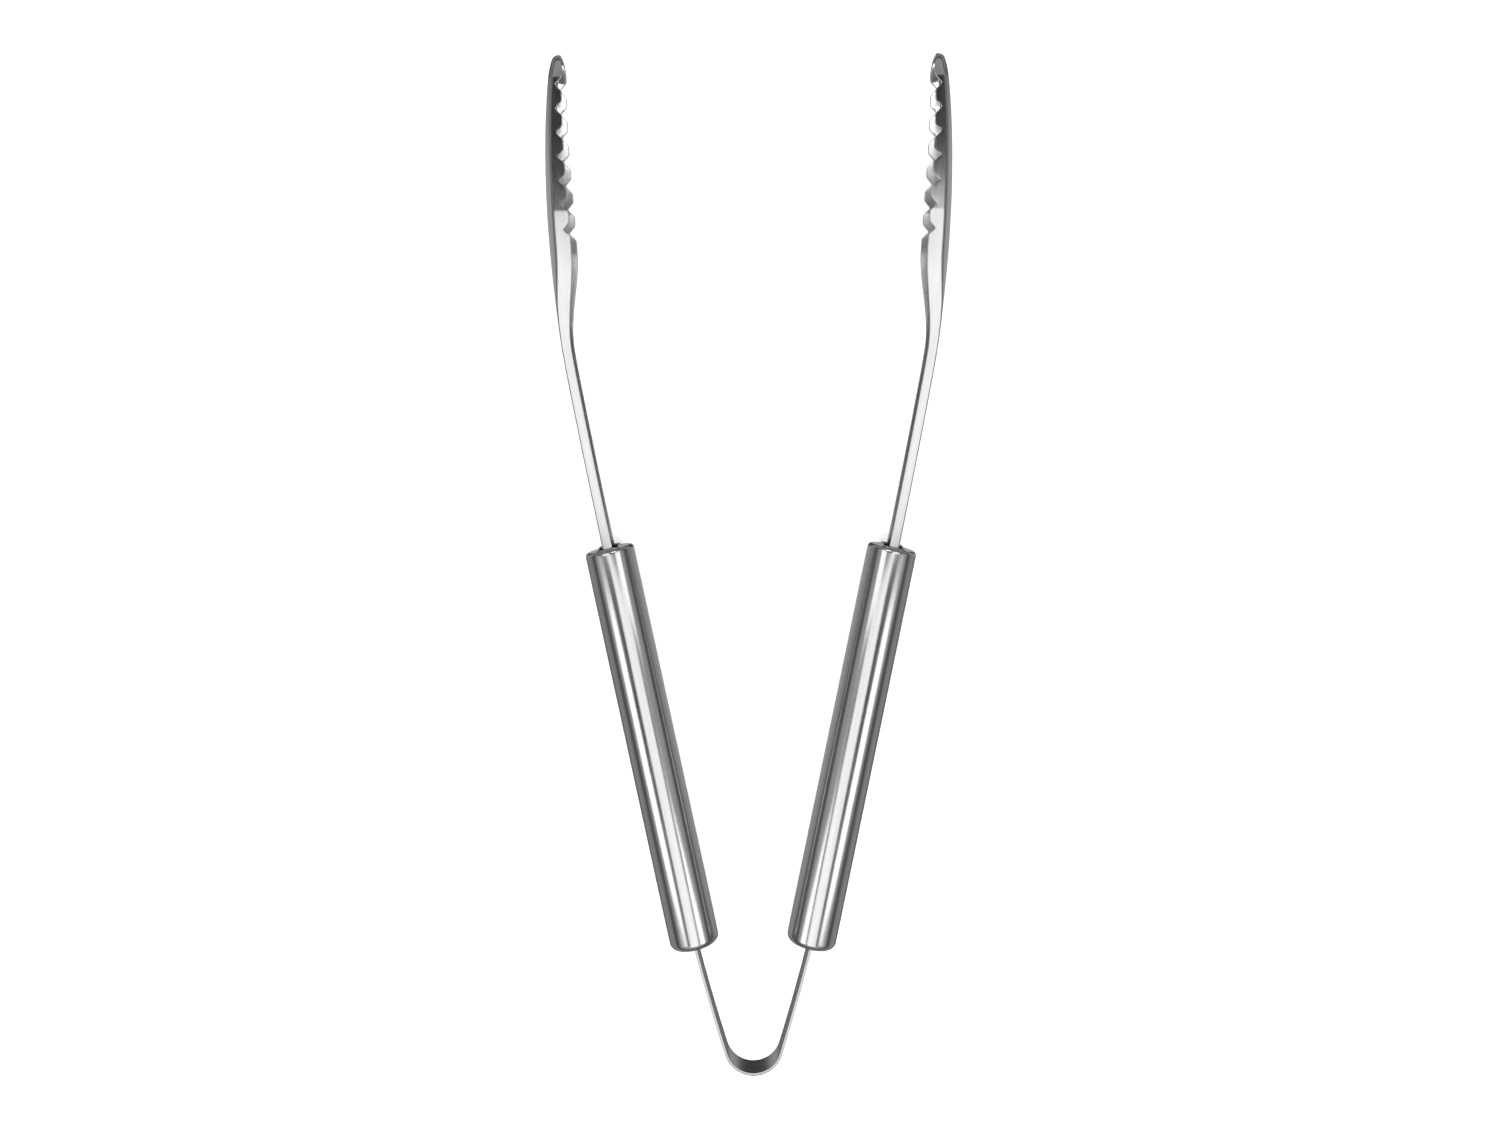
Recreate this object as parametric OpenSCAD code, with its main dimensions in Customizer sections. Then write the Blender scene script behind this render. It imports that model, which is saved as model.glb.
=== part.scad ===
// Spring loaded kitchen tongs: two stamped arms, two round hollow handles and one bent flat spring.
// The tongs lie on their side: X is across the opening, +Y runs from the spring bow to the gripping
// heads, +Z is up. The origin is at the middle of the footprint, on the surface they lie on.
// Each side is drawn in its handle's own frame (x outwards, y along the handle from its rear face)
// and then set at the handle's angle; the left side is the mirror image of the right.

/* [Sheet metal] */
// Thickness of the arm sheet and of the spring strip
sheet = 0.9; // [0.7:0.1:1.2]
// Thickness of the handle tube wall and of the handle caps
wall = 0.8; // [0.6:0.1:1]

/* [Handles] */
// Outer diameter of the handle tube
handle_d = 16; // [14:0.5:20]
// Length of the handle over both caps
handle_len = 131; // [110:1:150]
// Edge radius of the front cap, where the arm comes out
front_edge_r = 1.2; // [1:0.1:2.5]
// Edge radius of the rear cap, where the spring goes in
rear_edge_r = 2.4; // [1.5:0.1:4]

/* [Spring] */
// Width of the spring strip and of the arm's neck
strip_w = 10; // [8:0.5:11]
// Outer radius of the bow at the end of the spring
bow_outer_r = 9.7; // [8:0.1:12]
// Angle of each spring leg to the centre line where it leaves the bow
leg_angle = 17.5; // [15:0.5:20]
// Length of each leg from the bow to the handle
leg_len = 35; // [25:1:45]
// Angle of each leg where it enters its handle
entry_angle = 14.3; // [13:0.1:15]
// Angle of each handle to the centre line with the tongs open
open_angle = 12; // [10:0.5:13]

/* [Arms] */
// Length of the neck from the handle to the start of the head
neck_len = 56; // [45:1:70]
// Depth of the neck channel
neck_h = 3.3; // [2.8:0.1:4.5]
// Greatest width of the head, where it flares
flare_w = 20.5; // [18:0.5:24]
// Depth of the head at the flare
head_h = 7.9; // [6:0.1:9]
// Width of the head where its rounded nose starts
nose_w = 15.4; // [12:0.2:17]
// Depth of the head where its rounded nose starts
nose_h = 5.2; // [4.5:0.1:6]
// Depth of the head at its tip
tip_h = 3.6; // [2.8:0.1:4]
// Length of the rounded nose
nose_len = 8; // [6:0.5:8.5]
// Number of notches in each edge of a head
notches = 7; // [4:1:7]
// Distance from one notch to the next
notch_pitch = 7.9; // [7:0.1:8]
// Depth of a notch
notch_depth = 1.95; // [1:0.05:2]

/* [Hidden] */

$fn = 64;
overshoot = 1;
tiny = 0.1;
steel = [0.72, 0.73, 0.74];
spring_steel = [0.6, 0.61, 0.62];
plug_grey = [0.3, 0.31, 0.33];

// inside the handle: how far the leg takes to run straight, and where the strip and the tang end
settle_len = 28;
strip_end = 70;
tang_start = 40;
channel_start = 108;
channel_run = 3;

// the strip's middle and the arm's outer face, from the handle's axis
strip_x = 0.4;
arm_x = strip_x + sheet / 2 + sheet;

// the arm beyond the handle: [length, turn towards the centre line] of each stretch
knee_len = 18;
blade_len = 52;
tip_len = 35.5;
arm_bends = [[neck_len, -1.1], [knee_len, -2.6], [blade_len, -7.6], [tip_len, -7.1]];
head_start = handle_len + neck_len;
arm_end = head_start + knee_len + blade_len + tip_len;
flare_start = head_start + 9;
flare_end = head_start + 42;
flat_end = flare_end + 12;
nose_start = arm_end - nose_len;
nose_taper = 0.25;
nose_back_r = 2;
taper_power = 1.3;
first_notch = flare_end + 5.8;
notch_bottom_r = 0.5;
notch_top = 4.8;
// spacing of the outlines' points, and how wide a slab clears the whole bent arm
station = 3;
nose_station = 0.5;
arm_spread = 60;

// the spring from the middle of the bow: [length, turn] of each stretch, from heading along +X
bow_r = bow_outer_r - sheet / 2;
bow_turn = leg_angle - 90;
bow_len = -bow_turn * PI / 180 * bow_r;
spring_bends = [
    [bow_len, bow_turn],
    [leg_len, entry_angle - leg_angle],
    [settle_len, open_angle - entry_angle],
    [strip_end - settle_len, 0]
];
spring_len = bow_len + leg_len + strip_end;
outside_len = bow_len + leg_len;
bow_steps = 8;
leg_step = 9;

// slots in the caps and the plugs, rivets
front_slot = [6.2, strip_w + 1.6];
rear_slot = [2.4, strip_w + 0.8];
slot_x = arm_x - neck_h / 2;
rear_slot_x = 0;
slot_corner_r = 1.1;
slot_lip = 0.55;
slot_lip_h = 0.5;
plug_gap = 0.1;
plug_r = handle_d / 2 - wall - 0.05;
front_plug_len = 14;
rear_plug_len = 10;
plug_inset = 4;
rivet_r = 1.5;
rivet_gap = 0.05;
rivet_head_r = 2.6;
rivet_head_h = 0.9;
rivet_reach = 6;
rivet_at = [47, 61];

// ---- walking along bent strips ----------------------------------------------------------------

// [x, y, heading] after a distance along stretches of constant curvature; the heading is in degrees
// clockwise from +y, and the last stretch runs on past its end
function along(bends, distance, at, i = 0) =
    let (
        len = bends[i][0],
        last = i == len(bends) - 1,
        step = last ? distance : min(distance, len),
        turn = bends[i][1] * step / len,
        half = turn / 2,
        chord = turn == 0 ? step : step * sin(half) / (half * PI / 180),
        next = [
            at[0] + chord * sin(at[2] + half),
            at[1] + chord * cos(at[2] + half),
            at[2] + turn
        ]
    )
    last || distance <= len ? next : along(bends, distance - len, next, i + 1);

// a point off the line by some distance, to the left of its heading
function beside(p, off) = [p[0] - off * cos(p[2]), p[1] + off * sin(p[2])];

function spring_at(s) = along(spring_bends, s, [0, sheet / 2, 90]);
function arm_at(s) =
    s <= handle_len ? [arm_x, s, 0] : along(arm_bends, s - handle_len, [arm_x, handle_len, 0]);

function ease(t) = t <= 0 ? 0 : t >= 1 ? 1 : t * t * (3 - 2 * t);
function mix(a, b, t) = a + (b - a) * t;
function flare_share(s) = ease((s - flare_start) / (flare_end - flare_start));

// depth of the arm's section and half its width, at a distance along it
function depth_at(s) =
    s <= channel_start ? sheet
    : s < channel_start + channel_run ? mix(sheet, neck_h, (s - channel_start) / channel_run)
    : s < flare_end ? mix(neck_h, head_h, flare_share(s))
    : s < flat_end ? head_h
    : s < nose_start
        ? mix(head_h, nose_h, pow((s - flat_end) / (nose_start - flat_end), taper_power))
    : mix(nose_h, tip_h, pow((s - nose_start) / nose_len, 2));
// how far the rounded back of the nose falls below the arm's line
function fall_at(s) =
    let (over = min(max(s - arm_end + nose_back_r, 0), nose_back_r))
    nose_back_r - sqrt(nose_back_r * nose_back_r - over * over);
function half_width_at(s) =
    s < flare_end ? mix(strip_w, flare_w, flare_share(s)) / 2
    : s < flat_end ? flare_w / 2
    : mix(flare_w, nose_w, (s - flat_end) / (nose_start - flat_end)) / 2;

// distances along the arm at which its outlines have a point
function steps(from, to, spacing) =
    let (n = ceil((to - from) / spacing)) [for (i = [1 : n]) mix(from, to, i / n)];
arm_stations = concat(
    [tang_start, channel_start, channel_start + channel_run, handle_len],
    steps(handle_len, head_start, neck_len / 4),
    steps(head_start, flare_end, station),
    steps(flare_end, flat_end, station),
    steps(flat_end, nose_start, station),
    steps(nose_start, arm_end, nose_station)
);
// the side outline runs on past the nose, which is cut to shape by the front outline
side_stations = concat(arm_stations, [arm_end + station]);

// ---- where a handle stands --------------------------------------------------------------------

settled = spring_at(outside_len + settle_len);
handle_at = [
    settled[0] - strip_x * cos(open_angle) - settle_len * sin(open_angle),
    settled[1] + strip_x * sin(open_angle) - settle_len * cos(open_angle)
];
nose_tip = arm_at(arm_end);
nose_lip_x = nose_tip[0] - tip_h;
overall_len = handle_at[1] + nose_tip[1] * cos(open_angle) - nose_lip_x * sin(open_angle);

module in_place() {
    translate([0, -overall_len / 2, flare_w / 2]) children();
}

module right_side() {
    in_place() translate([handle_at[0], handle_at[1], 0]) rotate([0, 0, -open_angle]) children();
}

module left_side() {
    mirror([1, 0, 0]) right_side() children();
}

// ---- shapes shared by the sub-parts -----------------------------------------------------------

// a rectangle with round corners, made of squares and circles so that its corners stay true arcs
module round_slot(size, r) {
    square([size[0] - 2 * r, size[1]], center = true);
    square([size[0], size[1] - 2 * r], center = true);
    for (x = [-1, 1], y = [-1, 1])
        translate([x * (size[0] / 2 - r), y * (size[1] / 2 - r)]) circle(r);
}

// an outline drawn across the handle, given a length along it
module across(from, length) {
    translate([0, from, 0]) rotate([-90, 0, 0]) linear_extrude(length) children();
}

// half of a dished cap's section: flat face, round edge and a rim as wide as the tube's wall
module cap_section(edge_r) {
    square([handle_d / 2 - edge_r, wall]);
    intersection() {
        translate([handle_d / 2 - edge_r, edge_r]) difference() {
            circle(edge_r);
            circle(edge_r - wall);
        }
        translate([handle_d / 2 - edge_r, 0]) square(edge_r);
    }
}

// a dished cap with its face at y = 0 and its rim towards +y
module cap(edge_r) {
    rotate([-90, 0, 0]) rotate_extrude() cap_section(edge_r);
}

// a round plug with a slot through it
module plug(from, length, slot, slot_at) {
    color(plug_grey) difference() {
        across(from, length) circle(plug_r);
        across(from - overshoot, length + 2 * overshoot)
            translate([slot_at, 0]) square(slot, center = true);
    }
}

// ---- spring -----------------------------------------------------------------------------------

// one half of the strip's outline, as points at a distance from its middle line
function strip_edge(off) = [
    for (i = [0 : bow_steps]) beside(spring_at(bow_len * i / bow_steps), off),
    for (s = steps(bow_len, outside_len, leg_step)) beside(spring_at(s), off),
    for (s = steps(outside_len, outside_len + settle_len, leg_step)) beside(spring_at(s), off),
    beside(spring_at(spring_len), off)
];
function reversed(list) = [for (i = [len(list) - 1 : -1 : 0]) list[i]];
function mirrored(list) = [for (p = list) [-p[0], p[1]]];

module strip_outline() {
    outer = strip_edge(-sheet / 2);
    inner = strip_edge(sheet / 2);
    tail = [for (i = [1 : len(outer) - 1]) outer[i]];
    inner_tail = [for (i = [1 : len(inner) - 1]) inner[i]];
    polygon(concat(outer, reversed(inner), mirrored(inner_tail), mirrored(reversed(tail))));
}

module spring_bow() {
    color(spring_steel) difference() {
        in_place() linear_extrude(strip_w, center = true) strip_outline();
        right_side() rivet_shafts(rivet_r + 2 * rivet_gap);
        left_side() rivet_shafts(rivet_r + 2 * rivet_gap);
    }
}

// ---- rivets -----------------------------------------------------------------------------------

module rivet_shafts(r) {
    for (y = rivet_at)
        translate([0, y, 0]) rotate([0, 90, 0]) cylinder(r = r, h = rivet_reach, center = true);
}

module tang_rivets() {
    inner_face = strip_x - sheet / 2 - rivet_gap;
    outer_face = arm_x;
    color(steel) for (y = rivet_at) translate([0, y, 0]) rotate([0, 90, 0]) {
        translate([0, 0, inner_face - rivet_head_h]) cylinder(r = rivet_head_r, h = rivet_head_h);
        translate([0, 0, inner_face - overshoot / 2])
            cylinder(r = rivet_r, h = outer_face - inner_face + overshoot);
        translate([0, 0, outer_face]) cylinder(r = rivet_head_r, h = rivet_head_h);
    }
}

// ---- arm --------------------------------------------------------------------------------------

// the arm seen from above, between two depths below its outer face
module side_slab(from, depths) {
    outer = [for (s = side_stations) beside(arm_at(s), from + fall_at(s))];
    lip = [for (i = [0 : len(depths) - 1]) beside(arm_at(side_stations[i]), depths[i])];
    linear_extrude(flare_w + 2 * overshoot, center = true) polygon(concat(outer, reversed(lip)));
}

// the arm seen from inside the tongs: neck, flare and rounded nose, less an inset all round
module front_slab(inset) {
    edge = [
        for (s = arm_stations) if (s < nose_start) [half_width_at(s) - inset, arm_at(s)[1]]
    ];
    nose_y = arm_at(nose_start)[1];
    nose_reach = arm_at(arm_end)[1] - nose_y - inset;
    nose = [
        for (a = [0 : 10 : 180]) let (
            half_width = nose_w / 2 - inset - nose_taper * nose_reach * sin(a),
            fall = pow(max(1 - pow(sin(a), 4), 0), 1 / 4)
        ) [sign(90 - a) * half_width * fall, nose_y + nose_reach * sin(a)]
    ];
    rotate([0, 90, 0]) linear_extrude(arm_spread, center = true)
        polygon(concat(edge, nose, reversed(mirrored(edge))));
}

// a V notch with a round bottom, pointing away from the lip, with its bottom at the origin
module notch_outline() {
    hull() {
        translate([-notch_bottom_r, 0]) circle(notch_bottom_r, $fn = 24);
        translate([-notch_depth - overshoot, 0])
            square([tiny, notch_top + 2 * overshoot], center = true);
    }
}

module notch_cutters() {
    for (i = [0 : notches - 1]) {
        s = first_notch + i * notch_pitch;
        p = arm_at(s);
        bottom = beside(p, depth_at(s) - notch_depth);
        translate([bottom[0], bottom[1], 0]) rotate([0, 0, -p[2]])
            linear_extrude(flare_w + 2 * overshoot, center = true) notch_outline();
    }
}

module arm() {
    depths = [for (s = side_stations) depth_at(s)];
    beyond = [for (s = side_stations) 2 * head_h];
    color(steel) difference() {
        intersection() {
            side_slab(0, depths);
            front_slab(0);
        }
        intersection() {
            side_slab(sheet, beyond);
            front_slab(sheet);
        }
        notch_cutters();
        rivet_shafts(rivet_r + rivet_gap);
    }
}

// ---- handle -----------------------------------------------------------------------------------

module handle_tube() {
    tube_len = handle_len - front_edge_r - rear_edge_r;
    color(steel) across(rear_edge_r, tube_len) difference() {
        circle(handle_d / 2);
        circle(handle_d / 2 - wall);
    }
}

// slotted cap with a raised lip round the slot
module front_cap() {
    lip_size = [front_slot[0] + 2 * slot_lip, front_slot[1] + 2 * slot_lip];
    color(steel) difference() {
        union() {
            translate([0, handle_len, 0]) mirror([0, 1, 0]) cap(front_edge_r);
            across(handle_len - wall / 2, wall / 2 + slot_lip_h) translate([slot_x, 0])
                round_slot(lip_size, slot_corner_r + slot_lip);
        }
        across(handle_len - 2 * overshoot, 4 * overshoot) translate([slot_x, 0])
            round_slot(front_slot, slot_corner_r);
    }
}

module rear_cap() {
    color(steel) difference() {
        cap(rear_edge_r);
        across(-overshoot, 3 * overshoot) translate([rear_slot_x, 0])
            round_slot(rear_slot, slot_corner_r);
    }
}

module front_plug() {
    plug(handle_len - plug_inset - front_plug_len, front_plug_len,
        [neck_h + 2 * plug_gap, strip_w + 2 * plug_gap], slot_x);
}

module rear_plug() {
    plug(plug_inset, rear_plug_len, [rear_slot[0], strip_w + 2 * plug_gap], rear_slot_x);
}

// ---- the nodes --------------------------------------------------------------------------------

module left_arm() { left_side() arm(); }
module left_handle_tube() { left_side() handle_tube(); }
module left_front_cap() { left_side() front_cap(); }
module left_rear_cap() { left_side() rear_cap(); }
module left_front_plug() { left_side() front_plug(); }
module left_rear_plug() { left_side() rear_plug(); }
module left_tang_rivets() { left_side() tang_rivets(); }
module right_arm() { right_side() arm(); }
module right_handle_tube() { right_side() handle_tube(); }
module right_front_cap() { right_side() front_cap(); }
module right_rear_cap() { right_side() rear_cap(); }
module right_front_plug() { right_side() front_plug(); }
module right_rear_plug() { right_side() rear_plug(); }
module right_tang_rivets() { right_side() tang_rivets(); }

spring_bow();
left_arm();
left_handle_tube();
left_front_cap();
left_rear_cap();
left_front_plug();
left_rear_plug();
left_tang_rivets();
right_arm();
right_handle_tube();
right_front_cap();
right_rear_cap();
right_front_plug();
right_rear_plug();
right_tang_rivets();
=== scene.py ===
"""Looks for a pair of spring loaded kitchen tongs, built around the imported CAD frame.

Lengths are metres in the part's own frame: X across the opening, +Y from the spring bow to the
gripping heads, +Z up. The tongs lie on their side on a table at Z = 0. Each side is drawn in its
handle's frame (x outwards, y along the handle from its rear face, z up from the middle plane) and
then set at the handle's angle. The left side is the mirror image of the right.
"""

import math

import bmesh
import bpy
from mathutils import Matrix, Vector


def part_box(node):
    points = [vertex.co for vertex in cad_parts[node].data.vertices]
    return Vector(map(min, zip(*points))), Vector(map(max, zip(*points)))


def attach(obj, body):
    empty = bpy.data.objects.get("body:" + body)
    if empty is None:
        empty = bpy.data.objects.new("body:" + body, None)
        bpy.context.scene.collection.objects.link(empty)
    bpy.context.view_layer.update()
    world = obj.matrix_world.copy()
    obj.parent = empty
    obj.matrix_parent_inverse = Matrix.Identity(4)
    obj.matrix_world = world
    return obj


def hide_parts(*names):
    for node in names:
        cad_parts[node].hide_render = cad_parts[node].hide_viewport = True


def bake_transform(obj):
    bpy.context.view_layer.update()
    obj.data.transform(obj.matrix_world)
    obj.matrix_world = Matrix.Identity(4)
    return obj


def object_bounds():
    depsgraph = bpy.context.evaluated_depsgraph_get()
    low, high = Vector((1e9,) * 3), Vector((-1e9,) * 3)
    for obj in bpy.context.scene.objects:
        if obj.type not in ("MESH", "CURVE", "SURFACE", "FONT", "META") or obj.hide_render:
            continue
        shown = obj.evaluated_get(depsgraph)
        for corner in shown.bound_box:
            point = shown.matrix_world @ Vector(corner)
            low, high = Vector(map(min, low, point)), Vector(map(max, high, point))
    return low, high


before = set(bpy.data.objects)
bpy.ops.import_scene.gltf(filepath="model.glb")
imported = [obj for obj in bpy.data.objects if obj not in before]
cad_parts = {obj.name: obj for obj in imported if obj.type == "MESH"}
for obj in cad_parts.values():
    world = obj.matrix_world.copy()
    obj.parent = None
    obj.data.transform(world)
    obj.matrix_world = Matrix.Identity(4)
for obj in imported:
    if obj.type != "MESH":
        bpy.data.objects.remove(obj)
cad_low, cad_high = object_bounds()

# ---- sizes ------------------------------------------------------------------------------------

MM = 0.001
SHEET = 0.9 * MM
WALL = 0.8 * MM
LIP_R = 0.25 * MM
STRIP_EDGE_R = 0.1 * MM

HANDLE_R = 8 * MM
HANDLE_LEN = 131 * MM
FRONT_EDGE_R = 1.2 * MM
REAR_EDGE_R = 2.4 * MM
OPEN_ANGLE = math.radians(12)

# how far the strip leans from +Y where the bow ends and where it enters the handle, and the
# (length, turn) of each stretch from the middle of the bow on
STRIP_WIDTH = 10 * MM
BOW_R = 9.7 * MM - SHEET / 2
LEG_ANGLE = math.radians(17.5)
ENTRY_ANGLE = math.radians(14.3)
BOW_TURN = math.pi / 2 - LEG_ANGLE
BOW_LEN = BOW_TURN * BOW_R
LEG_LEN = 35 * MM
ENTRY_LEN = 28 * MM
STRIP_END_LEN = 42 * MM
SPRING_BENDS = [
    (BOW_LEN, -BOW_TURN),
    (LEG_LEN, ENTRY_ANGLE - LEG_ANGLE),
    (ENTRY_LEN, OPEN_ANGLE - ENTRY_ANGLE),
    (STRIP_END_LEN, 0.0),
]
STRIP_X = 0.4 * MM

# the arm is a flat tang inside the handle, then a channel that flares into the head. Its places
# are measured along its back from the handle's rear face
ARM_X = STRIP_X + 1.5 * SHEET
NECK_LEN = 56 * MM
ARM_BENDS = [
    (NECK_LEN, math.radians(-1.1)),
    (18 * MM, math.radians(-2.6)),
    (52 * MM, math.radians(-7.6)),
    (35.5 * MM, math.radians(-7.1)),
]
TANG_START = 40 * MM
CHANNEL_START = 108 * MM
CHANNEL_RUN = 3 * MM
HEAD_START = HANDLE_LEN + NECK_LEN
ARM_END = HANDLE_LEN + sum(length for length, turn in ARM_BENDS)
FLARE_START = HEAD_START + 9 * MM
FLARE_END = HEAD_START + 42 * MM
FLAT_END = FLARE_END + 12 * MM
NOSE_LEN = 8 * MM
NOSE_START = ARM_END - NOSE_LEN
NECK_DEPTH = 3.3 * MM
HEAD_DEPTH = 7.9 * MM
NOSE_DEPTH = 5.2 * MM
TIP_DEPTH = 3.6 * MM
TAPER_POWER = 1.3
FLARE_WIDTH = 20.5 * MM
NOSE_WIDTH = 15.4 * MM
NOSE_TAPER = 0.25

# bends between the back and the walls, each no more than a share of the channel's depth
NECK_BEND_R = 0.5 * MM
HEAD_BEND_R = 1.3 * MM
NOSE_BEND_R = 1.8 * MM
SIDE_BEND_SHARE = 0.45
NOSE_BEND_SHARE = 0.7
LEAST_INNER_R = 0.1 * MM
BEND_STEPS = 6
NOSE_STEPS = 48

# crowns are shares of the channel's inner depth, and splays are slopes of its walls
NECK_CROWN = 0.04
HEAD_CROWN = 0.33
NECK_SPLAY = 0.06
HEAD_SPLAY = 0.12
SPLAY_START = FLARE_START + 16 * MM
SPLAY_END = FLAT_END + 10 * MM
BACK_POINTS = [i / 6 for i in range(7)]

NOTCHES = 7
NOTCH_PITCH = 7.9 * MM
NOTCH_DEPTH = 1.95 * MM
NOTCH_SLOPE = 0.95
NOTCH_BOTTOM_R = 0.3 * MM
NOTCH_SHOULDER = 0.55 * MM
FIRST_NOTCH = FLARE_END + 5.8 * MM

FRONT_SLOT = (6.2 * MM, STRIP_WIDTH + 1.6 * MM)
REAR_SLOT = (2.4 * MM, STRIP_WIDTH + 0.8 * MM)
FRONT_SLOT_X = ARM_X - NECK_DEPTH / 2
SLOT_CORNER_R = 1.1 * MM
SLOT_LIP_R = 0.275 * MM
SLOT_LIP_RISE = 0.5 * MM
REAR_SLOT_EDGE_R = 0.3 * MM

# ---- where things stand, from the frame --------------------------------------------------------

middle = (cad_low + cad_high) / 2

# the tube's rear edge, which is REAR_EDGE_R ahead of the handle's rear face, sets its low corner
tube_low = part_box("right_handle_tube")[0]
handle_x = tube_low.x + HANDLE_R * math.cos(OPEN_ANGLE) - REAR_EDGE_R * math.sin(OPEN_ANGLE)
handle_y = tube_low.y + HANDLE_R * math.sin(OPEN_ANGLE) - REAR_EDGE_R * math.cos(OPEN_ANGLE)
bow_bottom = Vector((0, cad_low.y, middle.z))
handle_rear = Vector((handle_x, handle_y, middle.z))
SIDES = {"right": 1, "left": -1}


def handle_place(side):
    """From the handle's frame to the part's frame."""
    turn = Matrix.Translation(handle_rear) @ Matrix.Rotation(-OPEN_ANGLE, 4, "Z")
    return Matrix.Diagonal((side, 1, 1, 1)) @ turn


def spring_place(side):
    """From the spring's frame, whose origin is the bow's outer bottom, to the part's frame."""
    return Matrix.Diagonal((side, 1, 1, 1)) @ Matrix.Translation(bow_bottom)


# ---- walking along bent strips -----------------------------------------------------------------

def along(bends, distance, start):
    """(x, y, heading) after a distance along stretches of constant curvature. The heading is
    clockwise from +y."""
    x, y, heading = start
    for number, (length, turn) in enumerate(bends):
        step = distance if number == len(bends) - 1 else min(distance, length)
        bend = turn * step / length
        chord = step * math.sin(bend / 2) / (bend / 2) if bend else step
        x += chord * math.sin(heading + bend / 2)
        y += chord * math.cos(heading + bend / 2)
        heading += bend
        distance -= step
        if distance <= 0:
            break
    return x, y, heading


def beside(point, off):
    """(x, y) of a point off the line by some distance, to the left of its heading."""
    x, y, heading = point
    return x - off * math.cos(heading), y + off * math.sin(heading)


def arm_at(s):
    """(x, y, heading) of the arm's back, straight inside the handle and bent beyond it."""
    if s <= HANDLE_LEN:
        return ARM_X, s, 0.0
    return along(ARM_BENDS, s - HANDLE_LEN, (ARM_X, HANDLE_LEN, 0.0))


def mix(a, b, t):
    return a + (b - a) * t


def ease(t):
    """A smooth rise from 0 to 1."""
    t = min(max(t, 0.0), 1.0)
    return t * t * (3 - 2 * t)


def steps(start, end, spacing):
    """Even steps from start to end, without the start."""
    count = math.ceil((end - start) / spacing)
    return [mix(start, end, i / count) for i in range(1, count + 1)]


def quarter(count):
    """Angles of a quarter turn, both ends included."""
    return [math.pi / 2 * i / count for i in range(count + 1)]


# ---- making meshes -----------------------------------------------------------------------------

SHARP_ANGLE = math.radians(50)
SAME_POINT = 1e-7


def make_piece(name, rows, place, material, close_rows=False, close_columns=False, caps=False):
    """A piece skinned over rows of (point, grain) pairs, whose grain is the place that the point
    had in the straight metal, for the brushing to follow."""
    mesh = bpy.data.meshes.new(name)
    bm = bmesh.new()
    grain = bm.verts.layers.float_vector.new("grain")
    grid = []
    for row in rows:
        line = []
        for point, straight in row:
            vertex = bm.verts.new(point)
            vertex[grain] = Vector(straight)
            line.append(vertex)
        grid.append(line)
    row_pairs = list(zip(grid, grid[1:]))
    if close_rows:
        row_pairs.append((grid[-1], grid[0]))
    for one, other in row_pairs:
        corners = list(zip(one, one[1:], other[1:], other))
        if close_columns:
            corners.append((one[-1], one[0], other[0], other[-1]))
        for quad in corners:
            bm.faces.new(quad)
    if caps:
        bm.faces.new(grid[0])
        bm.faces.new(grid[-1])
    bmesh.ops.remove_doubles(bm, verts=bm.verts, dist=SAME_POINT)
    bm.transform(place)
    bmesh.ops.recalc_face_normals(bm, faces=bm.faces)
    for face in bm.faces:
        face.smooth = True
    for edge in bm.edges:
        if edge.is_manifold and edge.calc_face_angle() > SHARP_ANGLE:
            edge.smooth = False
    bm.to_mesh(mesh)
    bm.free()
    piece = bpy.data.objects.new(name, mesh)
    bpy.context.scene.collection.objects.link(piece)
    mesh.materials.append(material)
    normals = piece.modifiers.new("normals", "WEIGHTED_NORMAL")
    normals.keep_sharp = True
    return piece


# ---- arms --------------------------------------------------------------------------------------

def flare_share(s):
    """From 0 on the neck to 1 on the head."""
    return ease((s - FLARE_START) / (FLARE_END - FLARE_START))


def depth_at(s):
    """Depth of the arm's channel."""
    if s <= CHANNEL_START:
        return SHEET
    if s < CHANNEL_START + CHANNEL_RUN:
        return mix(SHEET, NECK_DEPTH, (s - CHANNEL_START) / CHANNEL_RUN)
    if s < FLARE_END:
        return mix(NECK_DEPTH, HEAD_DEPTH, flare_share(s))
    if s < NOSE_START:
        share = max(s - FLAT_END, 0) / (NOSE_START - FLAT_END)
        return mix(HEAD_DEPTH, NOSE_DEPTH, share ** TAPER_POWER)
    return mix(NOSE_DEPTH, TIP_DEPTH, ((s - NOSE_START) / NOSE_LEN) ** 2)


def half_width_at(s):
    """Half of the arm's width, to the outside of its walls."""
    if s < FLARE_END:
        return mix(STRIP_WIDTH, FLARE_WIDTH, flare_share(s)) / 2
    if s < FLAT_END:
        return FLARE_WIDTH / 2
    return mix(FLARE_WIDTH, NOSE_WIDTH, (s - FLAT_END) / (NOSE_START - FLAT_END)) / 2


def notch_at(s):
    """How far the lip is cut back: a row of V notches with round bottoms and round shoulders."""
    number = min(max(round((s - FIRST_NOTCH) / NOTCH_PITCH), 0), NOTCHES - 1)
    off = abs(s - FIRST_NOTCH - number * NOTCH_PITCH)
    rise = math.hypot(NOTCH_SLOPE * off, NOTCH_BOTTOM_R) - NOTCH_BOTTOM_R
    near = max(NOTCH_SHOULDER - abs(rise - NOTCH_DEPTH), 0)
    return NOTCH_DEPTH - min(rise, NOTCH_DEPTH) + near * near / (4 * NOTCH_SHOULDER)


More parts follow.
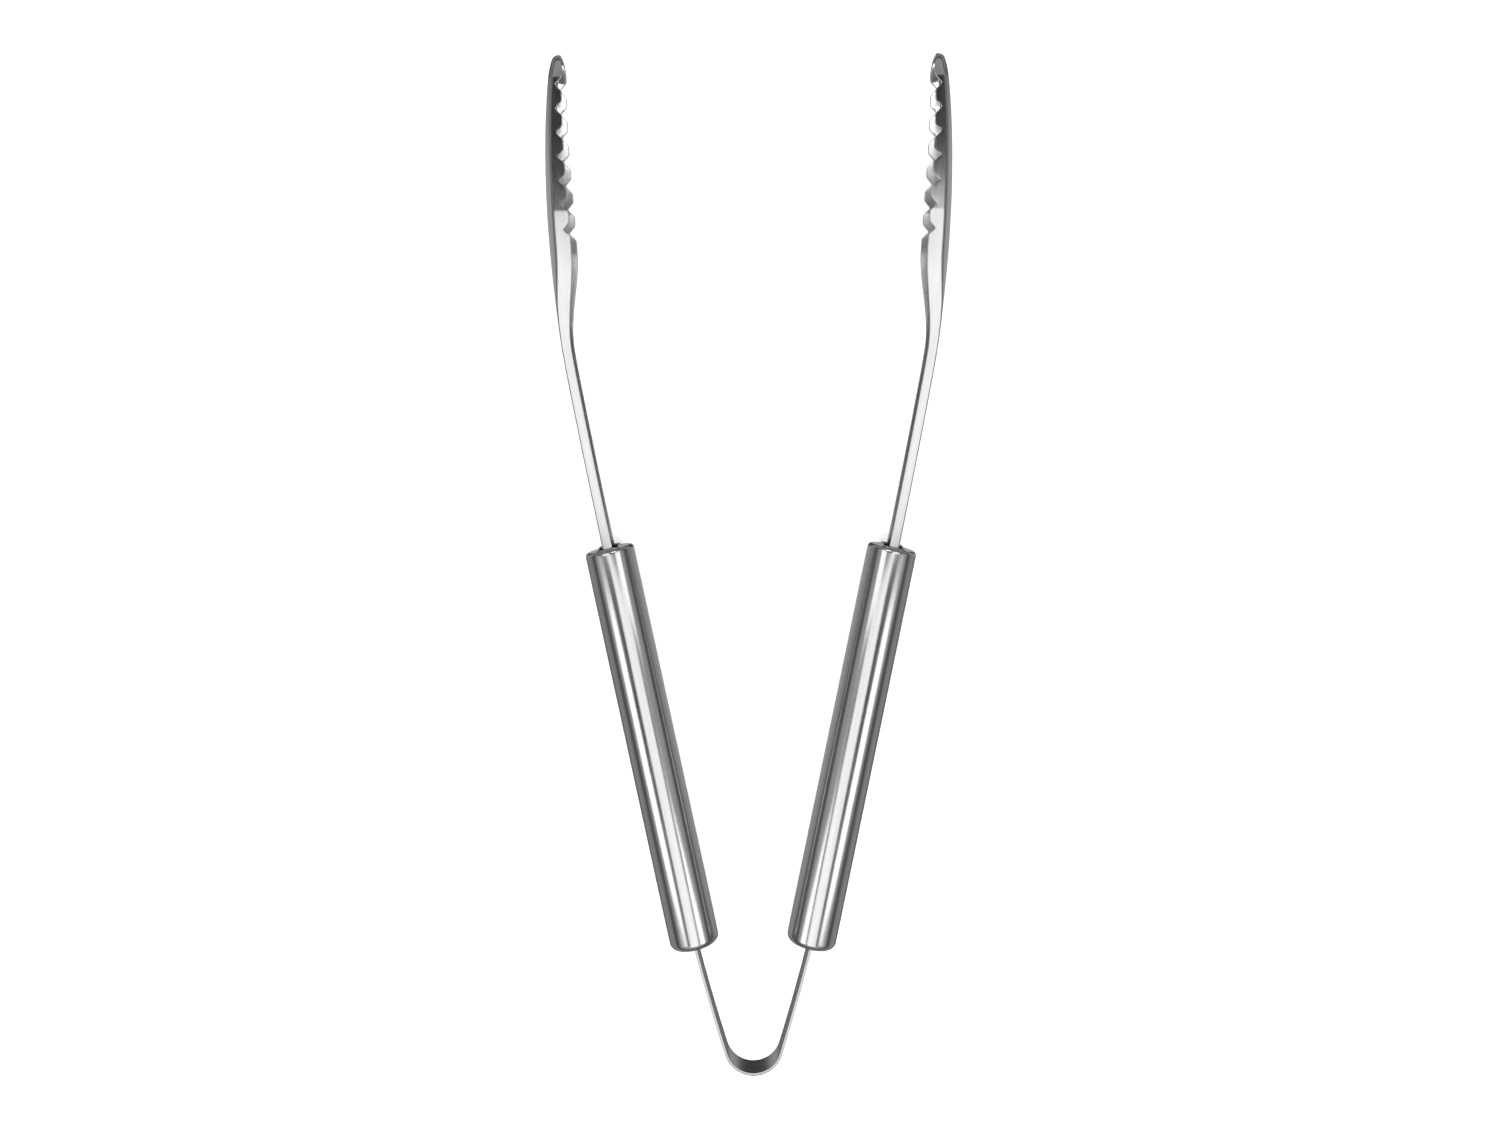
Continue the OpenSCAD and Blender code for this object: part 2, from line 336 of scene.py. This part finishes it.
def rim_section(depth, lip, reach, splay, head, ahead):
    """Half of the channel's section as (share of the way out, inset from the edge, depth) points,
    from the middle of its outer face over the crowned back, the bend, the splayed wall and the
    round lip to the middle of its inner face. The head's share goes from 0 on the neck to 1, and
    the share ahead from 0 along the sides to 1 at the tip of the nose."""
    crown = mix(NECK_CROWN, HEAD_CROWN, head) * (depth - SHEET)
    widest_bend = mix(SIDE_BEND_SHARE, NOSE_BEND_SHARE, ahead) * depth
    bend_r = min(mix(mix(NECK_BEND_R, HEAD_BEND_R, head), NOSE_BEND_R, ahead), widest_bend)
    inner_r = max(bend_r - SHEET, LEAST_INNER_R)
    tilt = math.atan(2 * crown / reach)
    bend_q = crown + bend_r * math.cos(tilt)
    low = lip - LIP_R

    def inset_of(q, radius):
        """Where the bend or the wall is at some depth, on the outer or the inner face."""
        rise = min(max(bend_q - q, 0), radius * math.cos(tilt))
        return bend_r - math.sqrt(radius * radius - rise * rise)

    edge = bend_r * (1 - math.sin(tilt))
    outer = [(share, edge, crown * share * share) for share in BACK_POINTS]
    inner = []
    for share in BACK_POINTS:
        slope = math.atan(2 * crown * share / reach)
        shift = SHEET * math.sin(slope) / max(share, 0.01)
        inner.append((share, edge + shift, crown * share * share + SHEET * math.cos(slope)))
    for i in range(BEND_STEPS):
        a = mix(tilt, math.pi / 2, (i + 1) / BEND_STEPS)
        q = min(bend_q - bend_r * math.cos(a), low)
        outer.append((1, inset_of(q, bend_r), q))
        q = min(bend_q - inner_r * math.cos(a), low)
        inner.append((1, inset_of(q, inner_r), q))
    for share in (0.5, 1):
        q = mix(min(bend_q, low), low, share)
        outer.append((1, inset_of(q, bend_r), q))
        inner.append((1, inset_of(q, inner_r), q))
    out_edge, in_edge = outer[-1][1], inner[-1][1]
    for a in quarter(3)[1:]:
        outer.append((1, out_edge + LIP_R * (1 - math.cos(a)), low + LIP_R * math.sin(a)))
        inner.append((1, in_edge - LIP_R * (1 - math.cos(a)), low + LIP_R * math.sin(a)))
    inner = [(share, inset, min(max(q, SHEET), lip)) for share, inset, q in inner]
    points = outer + inner[::-1]
    return [(share, inset + (depth - q) * splay, q) for share, inset, q in points]


def arm_row(s, angle):
    """One half section of the arm. Behind the nose it stands straight across, at angle 0 or pi,
    and round the nose the sections fan out."""
    ahead = round(math.sin(angle), 9)
    across = math.copysign((1 - ahead ** 4) ** 0.25, math.cos(angle))
    lip_at = s + NOSE_LEN * ahead
    depth = depth_at(lip_at)
    reach = half_width_at(s) - NOSE_TAPER * NOSE_LEN * ahead
    lip = depth - notch_at(lip_at)
    splay = mix(NECK_SPLAY, HEAD_SPLAY, ease((s - SPLAY_START) / (SPLAY_END - SPLAY_START)))
    row = []
    for share, inset, q in rim_section(depth, lip, reach, splay, flare_share(s), ahead):
        at = s + share * (NOSE_LEN - inset) * ahead
        z = share * (reach - inset) * across
        x, y = beside(arm_at(at), q)
        row.append(((x, y, z), (q, at, z + math.copysign(q, z))))
    return row


def arm_stations():
    """Where the half sections stand, closer together where the shape changes faster."""
    neck_start = CHANNEL_START + CHANNEL_RUN + 1 * MM
    teeth_start = FIRST_NOTCH - NOTCH_PITCH / 2
    tang = [TANG_START, CHANNEL_START - 4 * MM]
    channel = steps(CHANNEL_START - 1 * MM, neck_start, 1 * MM)
    neck = steps(neck_start, HEAD_START, 3 * MM)
    flare = steps(HEAD_START, teeth_start, 1 * MM)
    teeth = steps(teeth_start, NOSE_START, NOTCH_PITCH / 20)
    return tang + channel + neck + flare + teeth


def make_arm(name, side, material):
    """Half sections from the tang along one edge, round the nose and back along the other edge."""
    stations = arm_stations()
    rows = [arm_row(s, 0) for s in stations]
    rows += [arm_row(NOSE_START, math.pi * i / NOSE_STEPS) for i in range(1, NOSE_STEPS)]
    rows += [arm_row(s, math.pi) for s in reversed(stations)]
    return make_piece(name, rows, handle_place(side), material)


# ---- handles -----------------------------------------------------------------------------------

AROUND = 144


def ring(radius, y):
    """Points round the handle's axis."""
    turns = [2 * math.pi * i / AROUND for i in range(AROUND)]
    return [(radius * math.cos(a), y, radius * math.sin(a)) for a in turns]


def slot_ring(size, corner_r, x, y):
    """Points round a slot with round corners, each in the direction that the ring's point has."""
    points = []
    for i in range(AROUND):
        a = 2 * math.pi * i / AROUND
        cos, sin = abs(math.cos(a)), abs(math.sin(a))
        half_x, half_z = size[0] / 2, size[1] / 2
        reach = min(half_x / max(cos, 1e-9), half_z / max(sin, 1e-9))
        cx, cz = half_x - corner_r, half_z - corner_r
        if reach * cos > cx and reach * sin > cz:
            dot = cx * cos + cz * sin
            reach = dot + math.sqrt(dot * dot - cx * cx - cz * cz + corner_r * corner_r)
        points.append((x + reach * math.cos(a), y, reach * math.sin(a)))
    return points


def plain(rings):
    """Rings whose grain is their own place."""
    return [[(point, point) for point in one] for one in rings]


def make_tube(name, side, material):
    """A plain tube between the two caps' round edges."""
    start, end = REAR_EDGE_R, HANDLE_LEN - FRONT_EDGE_R
    rings = [ring(HANDLE_R, y) for y in [start] + steps(start, end, 10 * MM)]
    rings += [ring(HANDLE_R - WALL, y) for y in (end, start)]
    return make_piece(name, plain(rings), handle_place(side), material,
                      close_rows=True, close_columns=True)


def cap_rings(edge_r, slot_rings, face, inwards):
    """A dished sheet cap with a round edge and a slot. It faces y = face, and its metal reaches
    inwards, +1 or -1 along y."""
    flat_r = HANDLE_R - edge_r
    inner_r = edge_r - WALL
    centre = face + inwards * edge_r
    back = face + inwards * WALL
    edge = [
        ring(flat_r + edge_r * math.cos(a), centre - inwards * edge_r * math.sin(a))
        for a in quarter(10)
    ]
    inner_edge = [
        ring(flat_r + inner_r * math.cos(a), centre - inwards * inner_r * math.sin(a))
        for a in reversed(quarter(6))
    ]
    blend_rings = [
        [tuple(Vector(p).lerp(Vector(q), share)) for p, q in zip(edge[-1], slot_rings[0])]
        for share in (0.1, 0.6)
    ]
    last = [(x, back, z) for x, y, z in slot_rings[-1]]
    return edge + blend_rings + slot_rings + [last] + inner_edge


def make_front_cap(name, side, material):
    """The slot has a raised round lip, with a small fillet at its foot."""
    lip = SLOT_LIP_R
    profile = (
        (2 * lip + 0.25 * MM, 0),
        (2 * lip + 0.06 * MM, 0.1 * MM),
        (2 * lip, SLOT_LIP_RISE - lip),
        (1.7 * lip, SLOT_LIP_RISE - 0.3 * lip),
        (lip, SLOT_LIP_RISE),
        (0.3 * lip, SLOT_LIP_RISE - 0.3 * lip),
        (0, SLOT_LIP_RISE - lip),
        (0, 0),
    )
    slots = []
    for off, rise in profile:
        size = (FRONT_SLOT[0] + 2 * off, FRONT_SLOT[1] + 2 * off)
        slots.append(slot_ring(size, SLOT_CORNER_R + off, FRONT_SLOT_X, HANDLE_LEN + rise))
    rings = cap_rings(FRONT_EDGE_R, slots, face=HANDLE_LEN, inwards=-1)
    return make_piece(name, plain(rings), handle_place(side), material,
                      close_rows=True, close_columns=True)


def make_rear_cap(name, side, material):
    """The slot has a turned-in round edge."""
    slots = []
    for a in quarter(4):
        off = REAR_SLOT_EDGE_R * (1 - math.sin(a))
        y = REAR_SLOT_EDGE_R * (1 - math.cos(a))
        size = (REAR_SLOT[0] + 2 * off, REAR_SLOT[1] + 2 * off)
        slots.append(slot_ring(size, SLOT_CORNER_R + off, 0, y))
    rings = cap_rings(REAR_EDGE_R, slots, face=0, inwards=1)
    return make_piece(name, plain(rings), handle_place(side), material,
                      close_rows=True, close_columns=True)


# ---- spring ------------------------------------------------------------------------------------

def strip_section():
    """Section of the strip with round edges, as (off the middle line, up from the middle plane)."""
    points = []
    for corner, (off_side, z_side) in enumerate(((1, 1), (-1, 1), (-1, -1), (1, -1))):
        for a in quarter(3):
            turn = a + corner * math.pi / 2
            points.append((
                off_side * (SHEET / 2 - STRIP_EDGE_R) + STRIP_EDGE_R * math.cos(turn),
                z_side * (STRIP_WIDTH / 2 - STRIP_EDGE_R) + STRIP_EDGE_R * math.sin(turn),
            ))
    return points


def make_spring_half(name, side, material):
    """Half of the strip, from the middle of the bow to its end inside the handle."""
    straight_at = BOW_LEN + LEG_LEN + ENTRY_LEN
    bow = [0] + steps(0, BOW_LEN, 0.3 * MM)
    leg = steps(BOW_LEN, straight_at, 1 * MM)
    rows = []
    for s in bow + leg + [straight_at + STRIP_END_LEN]:
        at = along(SPRING_BENDS, s, (0, SHEET / 2, math.pi / 2))
        row = []
        for off, z in strip_section():
            x, y = beside(at, off)
            row.append(((x, y, z), (off, s, z)))
        rows.append(row)
    return make_piece(name, rows, spring_place(side), material, close_columns=True, caps=True)


# ---- materials ---------------------------------------------------------------------------------

def new_material(name):
    """A new material with its nodes, its links and its shader."""
    material = bpy.data.materials.new(name)
    material.use_nodes = True
    nodes, links = material.node_tree.nodes, material.node_tree.links
    return material, nodes, links, nodes["Principled BSDF"]


def noise_along(nodes, links, coordinate, width, length, detail):
    """Noise in streaks of some width, drawn out along y to some length."""
    mapping = nodes.new("ShaderNodeMapping")
    mapping.inputs["Scale"].default_value = (1 / width, 1 / length, 1 / width)
    links.new(coordinate, mapping.inputs["Vector"])
    noise = nodes.new("ShaderNodeTexNoise")
    noise.inputs["Scale"].default_value = 1
    noise.inputs["Detail"].default_value = detail
    links.new(mapping.outputs["Vector"], noise.inputs["Vector"])
    return noise.outputs["Fac"]


def spread(nodes, links, value, low, high):
    """A noise value's middle range, stretched to run from low to high."""
    ranged = nodes.new("ShaderNodeMapRange")
    ranged.inputs["From Min"].default_value = 0.3
    ranged.inputs["From Max"].default_value = 0.7
    ranged.inputs["To Min"].default_value = low
    ranged.inputs["To Max"].default_value = high
    links.new(value, ranged.inputs["Value"])
    return ranged.outputs["Result"]


def vary_colour(nodes, links, shader, tone, darkest, value):
    """The shader's colour runs from the darkest share of the tone to the tone, with a noise."""
    colour = nodes.new("ShaderNodeMix")
    colour.data_type = "RGBA"
    colour.inputs["A"].default_value = (*[c * darkest for c in tone], 1)
    colour.inputs["B"].default_value = (*tone, 1)
    links.new(spread(nodes, links, value, 0, 1), colour.inputs["Factor"])
    links.new(colour.outputs["Result"], shader.inputs["Base Color"])


def brushed_steel(name, tone, roughness, streak, bump):
    """Steel brushed along its length: fine streaks in its colour, roughness and surface."""
    material, nodes, links, shader = new_material(name)
    grain = nodes.new("ShaderNodeAttribute")
    grain.attribute_name = "grain"
    place = grain.outputs["Vector"]
    fine = noise_along(nodes, links, place, width=0.25 * MM, length=18 * MM, detail=3)
    broad = noise_along(nodes, links, place, width=1.1 * MM, length=60 * MM, detail=2)
    both = nodes.new("ShaderNodeMath")
    both.operation = "ADD"
    links.new(fine, both.inputs[0])
    links.new(broad, both.inputs[1])
    half = nodes.new("ShaderNodeMath")
    half.operation = "MULTIPLY"
    half.inputs[1].default_value = 0.5
    links.new(both.outputs["Value"], half.inputs[0])
    vary_colour(nodes, links, shader, tone, 1 - streak, half.outputs["Value"])
    rough = spread(nodes, links, fine, roughness * 0.8, roughness * 1.25)
    links.new(rough, shader.inputs["Roughness"])
    height = nodes.new("ShaderNodeBump")
    height.inputs["Strength"].default_value = bump
    height.inputs["Distance"].default_value = 0.01 * MM
    links.new(half.outputs["Value"], height.inputs["Height"])
    links.new(height.outputs["Normal"], shader.inputs["Normal"])
    shader.inputs["Metallic"].default_value = 1
    return material


def plain_material(name, tone, roughness, metallic, size):
    """A fine even speckle in colour and roughness, for the rivets, the plugs and the floor."""
    material, nodes, links, shader = new_material(name)
    place = nodes.new("ShaderNodeTexCoord")
    speckle = noise_along(nodes, links, place.outputs["Object"], width=size, length=size, detail=4)
    vary_colour(nodes, links, shader, tone, 0.94, speckle)
    rough = spread(nodes, links, speckle, roughness * 0.9, roughness * 1.1)
    links.new(rough, shader.inputs["Roughness"])
    shader.inputs["Metallic"].default_value = metallic
    return material


STEEL = (0.66, 0.66, 0.655)
SPRING_STEEL = (0.53, 0.53, 0.53)
PLASTIC = (0.05, 0.052, 0.055)
PAPER = (0.9, 0.9, 0.9)

arm_steel = brushed_steel("brushed_arm_steel", STEEL, roughness=0.2, streak=0.12, bump=0.15)
handle_steel = brushed_steel("brushed_handle_steel", STEEL, roughness=0.17, streak=0.16, bump=0.2)
cap_steel = brushed_steel("polished_cap_steel", STEEL, roughness=0.15, streak=0.08, bump=0.1)
spring_steel = brushed_steel("spring_steel", SPRING_STEEL, roughness=0.25, streak=0.15, bump=0.15)
rivet_steel = plain_material("rivet_steel", STEEL, roughness=0.3, metallic=1, size=0.4 * MM)
plug_plastic = plain_material("plug_plastic", PLASTIC, roughness=0.55, metallic=0, size=0.8 * MM)
floor_paper = plain_material("floor_paper", PAPER, roughness=0.8, metallic=0, size=2 * MM)


# ---- the tongs ---------------------------------------------------------------------------------

def add_piece(piece, slot, body, *nodes):
    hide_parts(*nodes)
    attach(piece, body)


for side_name, side in SIDES.items():
    body = side_name + "_side"
    add_piece(make_arm(side_name + "_arm_channel", side, arm_steel),
              "arm_steel", body, side_name + "_arm")
    add_piece(make_tube(side_name + "_handle_barrel", side, handle_steel),
              "handle_steel", body, side_name + "_handle_tube")
    add_piece(make_front_cap(side_name + "_front_end", side, cap_steel),
              "handle_steel", body, side_name + "_front_cap")
    add_piece(make_rear_cap(side_name + "_rear_end", side, cap_steel),
              "handle_steel", body, side_name + "_rear_cap")
    half = make_spring_half(side_name + "_spring_leg", side, spring_steel)
    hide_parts("spring_bow")
    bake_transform(half)

for node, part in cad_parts.items():
    if node.endswith("_plug"):
        part.data.materials.clear()
        part.data.materials.append(plug_plastic)
    if node.endswith("_rivets"):
        part.data.materials.clear()
        part.data.materials.append(rivet_steel)


# ---- floor, light and camera -------------------------------------------------------------------

FLOOR_REACH = 4
FLOOR_SQUARES = 80
FLAT_FLOOR_R = 1.5
FLOOR_SWEEP = 0.6

# grey of the surroundings at each sine of the angle above the horizon
SURROUNDINGS = [
    (-1, 0.45), (-0.7, 0.42), (-0.3, 0.3), (-0.12, 0.3), (0.08, 0.1),
    (0.26, 0.1), (0.4, 0.4), (0.75, 0.42), (0.9, 0.12), (1, 0.04),
]
# share of that grey which is left at each Y component of a direction, high up and low down, and
# the sines between which high and low set in
SHARES_ABOVE = [(-1, 1), (0.05, 1), (0.16, 0.15), (0.34, 0.15), (0.5, 0.9), (1, 1)]
ABOVE = (0.45, 0.65)
SHARES_BELOW = [(-1, 0.4), (-0.3, 0.4), (-0.1, 1), (0.12, 1), (0.25, 0.14), (1, 0.14)]
BELOW = (-0.5, -0.7)

# brightness of each lamp's face, where 1 looks white, which takes WHITE_LAMP watts per square
# metre
WHITE_LAMP = 4
BOX_LIGHT = 1.1
TIP_LIGHT = 2.4
SIDE_LIGHT = 1.5
CEILING_LIGHT = 3

# (x, y) of the middle of each lamp over the right side, and its size. The boxes that the steel
# reflects hang at one height over the tongs, one behind the other
BOX_HEIGHT = 0.19
HANDLE_BOX = (0, -0.135), (0.124, 0.25)
NECK_BOX = (0.105, 0.0225), (0.12, 0.095)
FLARE_BOX_X = 0.1225
FLARE_BOX_REAR = 0.07
FLARE_BOX_SIZE = (0.085, 0.073)
TIP_BOX = (0.0225, 0.2), (0.035, 0.14)
SIDE_HEIGHT = 0.5
SIDE_BOX = (0.506, -0.33), (0.44, 0.24)
SIDE_TURN = math.radians(-18)
CEILING_HEIGHT = 2
CEILING = (0, 0), (3, 3)

# the box over the right flare is this much longer than FLARE_BOX_SIZE, and the left one shorter
FLARE_BOX_MORE = 0.008

SENSOR_WIDTH = 36
CAMERA_HEIGHT = 0.54
CAMERA_FOOT = Vector((-0.0025, 0.07, 0))
CAMERA_SHIFT = (0.0053, -0.1457)
CAMERA_TURN = math.radians(-0.3)
VIEW_WIDTH = 484.8 * MM


def add_floor():
    """A floor that is flat round the tongs and sweeps up all round into a backdrop."""
    bm = bmesh.new()
    bmesh.ops.create_grid(bm, x_segments=FLOOR_SQUARES, y_segments=FLOOR_SQUARES, size=FLOOR_REACH)
    for vertex in bm.verts:
        outside = max(vertex.co.length - FLAT_FLOOR_R, 0)
        vertex.co.z = FLOOR_SWEEP * outside * outside
    for face in bm.faces:
        face.smooth = True
    mesh = bpy.data.meshes.new("floor")
    bm.to_mesh(mesh)
    bm.free()
    mesh.materials.append(floor_paper)
    floor = bpy.data.objects.new("floor", mesh)
    bpy.context.scene.collection.objects.link(floor)
    floor.visible_glossy = False


def add_softbox(name, side, box, height, light, turn=0.0, in_camera=False, in_gloss=True):
    """A level lamp that shines down, just as bright all over its rectangle. On the left side it
    stands and turns the other way."""
    (x, y), size = box
    data = bpy.data.lights.new(name, "AREA")
    data.shape = "RECTANGLE"
    data.size, data.size_y = size
    data.energy = light * WHITE_LAMP * size[0] * size[1]
    lamp = bpy.data.objects.new(name, data)
    lamp.location = (side * x, y, height)
    lamp.rotation_euler = (0, 0, side * turn)
    lamp.visible_camera = in_camera
    lamp.visible_glossy = in_gloss
    bpy.context.scene.collection.objects.link(lamp)


def set_ramp(ramp, stops):
    """Greys at values from -1 to 1."""
    while len(ramp.elements) < len(stops):
        ramp.elements.new(0.5)
    for element, (value, grey) in zip(ramp.elements, stops):
        element.position = (value + 1) / 2
        element.color = (grey, grey, grey, 1)


def share_left(nodes, links, split, shares, heights):
    """1, blending between two heights into a share that depends on the direction's Y."""
    toward = nodes.new("ShaderNodeMapRange")
    toward.inputs["From Min"].default_value = -1
    links.new(split.outputs["Y"], toward.inputs["Value"])
    share = nodes.new("ShaderNodeValToRGB")
    set_ramp(share.color_ramp, shares)
    links.new(toward.outputs["Result"], share.inputs["Fac"])
    within = nodes.new("ShaderNodeMapRange")
    within.inputs["From Min"].default_value = heights[0]
    within.inputs["From Max"].default_value = heights[1]
    links.new(split.outputs["Z"], within.inputs["Value"])
    blend = nodes.new("ShaderNodeMix")
    blend.inputs["A"].default_value = 1
    links.new(within.outputs["Result"], blend.inputs["Factor"])
    links.new(share.outputs["Color"], blend.inputs["B"])
    return blend.outputs["Result"]


def add_world():
    """Grey surroundings by height: dim overhead and round the horizon, and lighter in between.
    They are darker in a band high up beyond the gripping heads, and low down towards both ends."""
    world = bpy.data.worlds.new("studio")
    bpy.context.scene.world = world
    world.use_nodes = True
    nodes, links = world.node_tree.nodes, world.node_tree.links
    place = nodes.new("ShaderNodeTexCoord")
    split = nodes.new("ShaderNodeSeparateXYZ")
    links.new(place.outputs["Generated"], split.inputs["Vector"])
    height = nodes.new("ShaderNodeMapRange")
    height.inputs["From Min"].default_value = -1
    links.new(split.outputs["Z"], height.inputs["Value"])
    tone = nodes.new("ShaderNodeValToRGB")
    set_ramp(tone.color_ramp, SURROUNDINGS)
    links.new(height.outputs["Result"], tone.inputs["Fac"])
    links.new(tone.outputs["Color"], nodes["Background"].inputs["Color"])
    strength = nodes.new("ShaderNodeMath")
    strength.operation = "MULTIPLY"
    links.new(share_left(nodes, links, split, SHARES_ABOVE, ABOVE), strength.inputs[0])
    links.new(share_left(nodes, links, split, SHARES_BELOW, BELOW), strength.inputs[1])
    links.new(strength.outputs["Value"], nodes["Background"].inputs["Strength"])


def add_camera():
    """Looks straight down, from CAMERA_HEIGHT above the middle plane of the tongs."""
    data = bpy.data.cameras.new("camera")
    data.sensor_width = SENSOR_WIDTH
    data.lens = SENSOR_WIDTH * CAMERA_HEIGHT / VIEW_WIDTH
    data.shift_x, data.shift_y = CAMERA_SHIFT
    camera = bpy.data.objects.new("camera", data)
    camera.location = CAMERA_FOOT + Vector((0, 0, middle.z + CAMERA_HEIGHT))
    camera.rotation_euler = (0, 0, CAMERA_TURN)
    bpy.context.scene.collection.objects.link(camera)
    bpy.context.scene.camera = camera


add_floor()
add_world()
add_softbox("handle_box", 1, HANDLE_BOX, BOX_HEIGHT, BOX_LIGHT)
for side in SIDES.values():
    flare_len = FLARE_BOX_SIZE[1] + side * FLARE_BOX_MORE
    flare_place = (FLARE_BOX_X, FLARE_BOX_REAR + flare_len / 2)
    flare_box = flare_place, (FLARE_BOX_SIZE[0], flare_len)
    add_softbox("neck_box", side, NECK_BOX, BOX_HEIGHT, BOX_LIGHT)
    add_softbox("flare_box", side, flare_box, BOX_HEIGHT, BOX_LIGHT)
    add_softbox("tip_box", side, TIP_BOX, BOX_HEIGHT, TIP_LIGHT)
    add_softbox("side_box", side, SIDE_BOX, SIDE_HEIGHT, SIDE_LIGHT, turn=SIDE_TURN)
add_softbox("ceiling", 1, CEILING, CEILING_HEIGHT, CEILING_LIGHT, in_camera=True, in_gloss=False)
add_camera()
bpy.context.scene.view_settings.view_transform = "Standard"
